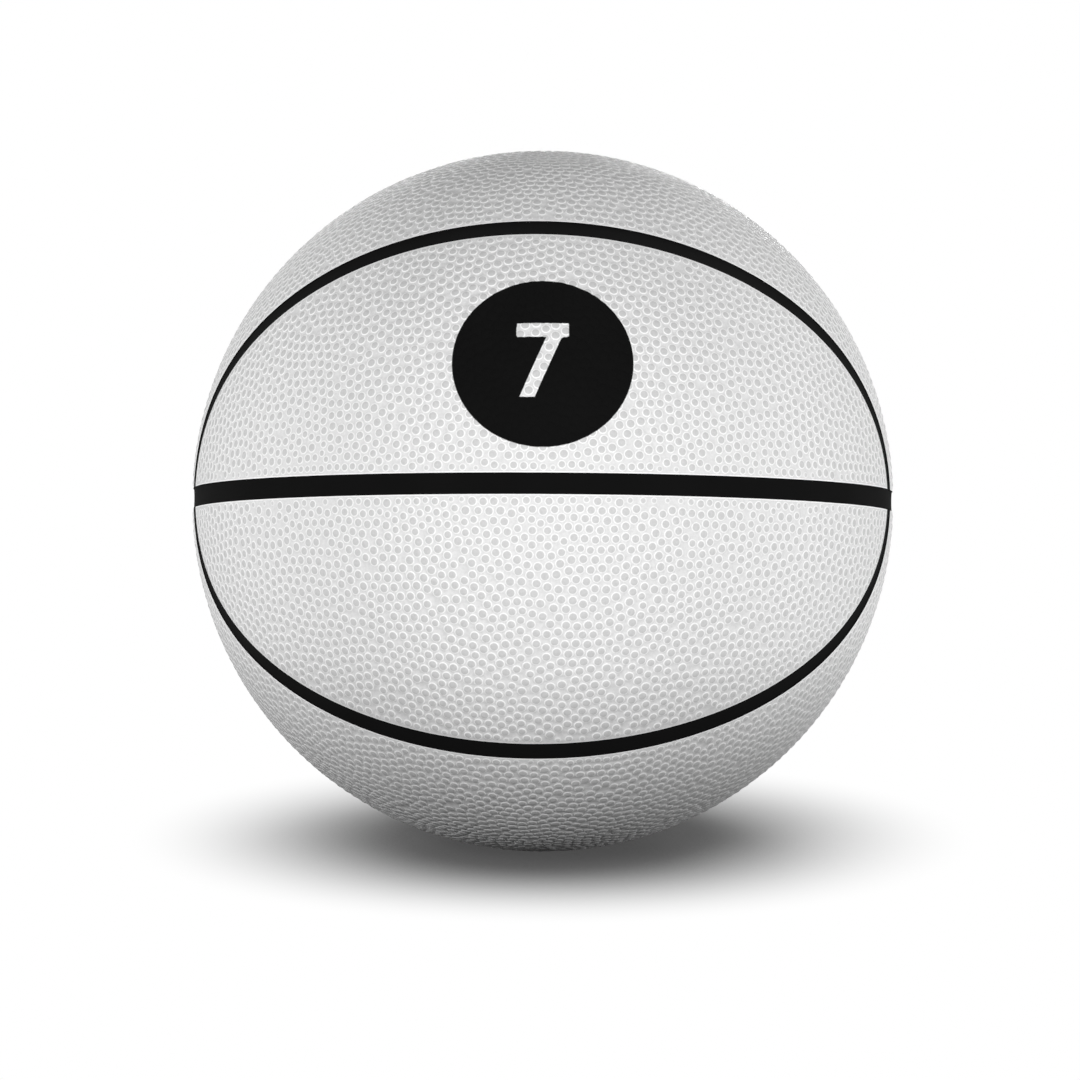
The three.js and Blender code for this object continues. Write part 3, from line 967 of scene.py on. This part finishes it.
def floor_material():
    """A white floor that keeps the lamps' shadow near the ball, with a painted shadow in its colour there,
    and fades through a painted oval to plain white further out.
    """
    made, tree, shader = new_material("floor_white", {})
    tree.nodes.remove(shader)
    # Ambient occlusion darkens the floor's colour near the ball: a painted shadow under it.
    near = add_node(tree, "AmbientOcclusion", {"Color": grey(FLOOR_WHITE), "Distance": PAINTED_SHADOW_DISTANCE})
    lit = add_node(tree, "BsdfDiffuse", {"Color": near.outputs["Color"]})
    bounce = add_node(tree, "BsdfDiffuse", {"Color": grey(FLOOR_BOUNCE)})
    glow = add_node(tree, "Emission", {"Color": grey(1), "Strength": 1})
    place = add_node(tree, "Mapping", {
        "Vector": add_node(tree, "TexCoord").outputs["Object"],
        "Location": SHADOW_CENTRE,
        "Scale": SHADOW_STRETCH,
    }, vector_type="TEXTURE").outputs["Vector"]
    away = add_node(tree, "VectorMath", {0: place}, operation="LENGTH").outputs["Value"]
    # The oval fade to plain white paints the shadow's outline, and its white share paints light into the
    # middle.
    share = remap(tree, away, *SHADOW_REACH, SHADOW_WHITE, 1, smooth=True)
    shown = add_node(tree, "MixShader", {0: share, 1: lit.outputs[0], 2: glow.outputs[0]})
    both = add_node(tree, "MixShader", {0: seen(tree), 1: bounce.outputs[0], 2: shown.outputs[0]})
    tree.links.new(both.outputs[0], tree.nodes["Material Output"].inputs["Surface"])
    return made


def floor():
    bm = bmesh.new()
    bmesh.ops.create_grid(bm, x_segments=1, y_segments=1, size=FLOOR_HALF_WIDTH)
    new_object(bm, "floor", [floor_material()])


def low_screen():
    black, _, _ = new_material("screen_black", {"Base Color": grey(0)})
    bm = bmesh.new()
    bmesh.ops.create_circle(bm, radius=SCREEN_RADIUS, segments=SCREEN_STEPS)
    made = bmesh.ops.extrude_edge_only(bm, edges=bm.edges)["geom"]
    top = [item for item in made if isinstance(item, bmesh.types.BMVert)]
    bmesh.ops.translate(bm, verts=top, vec=Z * SCREEN_HEIGHT)
    screen = new_object(bm, "low_screen", [black])
    screen.visible_camera = False


def backdrop():
    world = bpy.data.worlds.new("studio")
    bpy.context.scene.world = world
    world.use_nodes = True
    tree = world.node_tree
    background = tree.nodes["Background"]
    background.inputs["Color"].default_value = grey(1)
    strength = remap(tree, seen(tree), 0, 1, WORLD_LIGHT, 1)
    tree.links.new(strength, background.inputs["Strength"])


def softbox(name, azimuth, elevation, width, level):
    turn, rise = math.radians(azimuth), math.radians(elevation)
    out = Vector((math.sin(turn) * math.cos(rise), -math.cos(turn) * math.cos(rise), math.sin(rise)))
    lamp = bpy.data.lights.new(name, "AREA")
    lamp.shape = "RECTANGLE"
    lamp.size = width
    lamp.size_y = SOFTBOX_HEIGHT
    lamp.energy = level * (math.pi * SOFTBOX_DISTANCE) ** 2
    made = bpy.data.objects.new(name, lamp)
    made.location = BALL_CENTRE + out * SOFTBOX_DISTANCE
    made.rotation_euler = (-out).to_track_quat("-Z", "Y").to_euler()
    made.visible_camera = False
    bpy.context.scene.collection.objects.link(made)


# Camera: as many of the ball's radii off as the perspective of the photograph shows, its elevation in
# degrees, the ball's outline and its centre, right of and above the frame's middle, in pixels of the frame.
CAMERA_RADII = 16
CAMERA_DISTANCE = CAMERA_RADII * BALL_RADIUS * MM
CAMERA_ELEVATION = 11.5
FRAME_PIXELS = 1080
OUTLINE_PIXELS = 350.7
CENTRE_PIXELS = (2.8, 38.6)
SENSOR_WIDTH = 36


def camera():
    data = bpy.data.cameras.new("camera")
    made = bpy.data.objects.new("camera", data)
    bpy.context.scene.collection.objects.link(made)
    bpy.context.scene.camera = made
    edge_angle = math.asin(BALL_RADIUS * MM / CAMERA_DISTANCE)
    focal_pixels = OUTLINE_PIXELS / math.tan(edge_angle)
    data.sensor_width = SENSOR_WIDTH
    data.lens = focal_pixels * SENSOR_WIDTH / FRAME_PIXELS
    rise = math.radians(CAMERA_ELEVATION)
    back = Vector((0, -math.cos(rise), math.sin(rise)))
    made.location = BALL_CENTRE + back * CAMERA_DISTANCE
    look = (-back).to_track_quat("-Z", "Y")
    aim = BALL_CENTRE - look @ Vector((*CENTRE_PIXELS, 0)) * (CAMERA_DISTANCE / focal_pixels)
    made.rotation_euler = (aim - made.location).to_track_quat("-Z", "Y").to_euler()


bpy.context.scene.view_settings.view_transform = "Standard"
camera()
floor()
low_screen()
backdrop()
for lamp_name, settings in SOFTBOXES.items():
    softbox(lamp_name, *settings)

grain_group = surface_grain()
pebble_light_group = pebble_painted_light()
channel_black = rubber_material("channel_black", grain_group)
cover_panels(
    cover_material("cover_white", grain_group, pebble_light_group, printed=False),
    cover_material("cover_printed", grain_group, pebble_light_group, printed=True),
    channel_black,
)
channel_strips(channel_black)
valve_rubber = rubber_material("valve_rubber", grain_group)
valve_plug(valve_rubber)
valve_boss(valve_rubber)
inner_layer("carcass", rubber_material("carcass_rubber", grain_group))
inner_layer("thread_winding", winding_material(grain_group))
inner_layer("bladder", rubber_material("bladder_butyl", grain_group))
